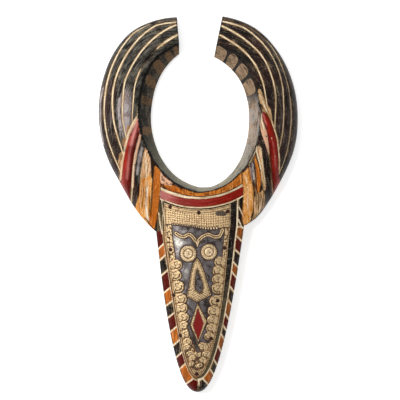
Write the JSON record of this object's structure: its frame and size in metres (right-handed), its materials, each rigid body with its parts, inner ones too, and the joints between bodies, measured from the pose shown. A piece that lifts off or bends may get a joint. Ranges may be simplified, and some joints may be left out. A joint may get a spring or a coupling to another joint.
{
  "type": "carved bull mask",
  "caption": "Carved and painted wooden bull mask: a ring of fluted horns over a long tapering face with an embossed metal plate.",
  "frame": {"origin": "middle of the mask's outline in plan, on its flat back", "axes": "+Z from the flat back to the viewer, +Y from the muzzle tip to the horn tips, +X to the viewer's right"},
  "size_m": [0.265, 0.5, 0.0483],
  "materials": {
    "painted_wood": "blue-black gloss paint, worn, with red, orange and cream bands and cream grooves",
    "embossed_plate": "embossed sheet, dark in the hollows and rubbed tan-gold on the raised work",
    "tack_iron": "dark brown, slightly rusted"
  },
  "bodies": {
    "root": {"mask_wood": "painted_wood", "face_plate": "embossed_plate", "tack_01": "tack_iron", "tack_02": "tack_iron", "tack_03": "tack_iron", "tack_04": "tack_iron", "tack_05": "tack_iron", "tack_06": "tack_iron", "tack_07": "tack_iron", "tack_08": "tack_iron", "tack_09": "tack_iron", "tack_10": "tack_iron"}
  },
  "joints": []
}
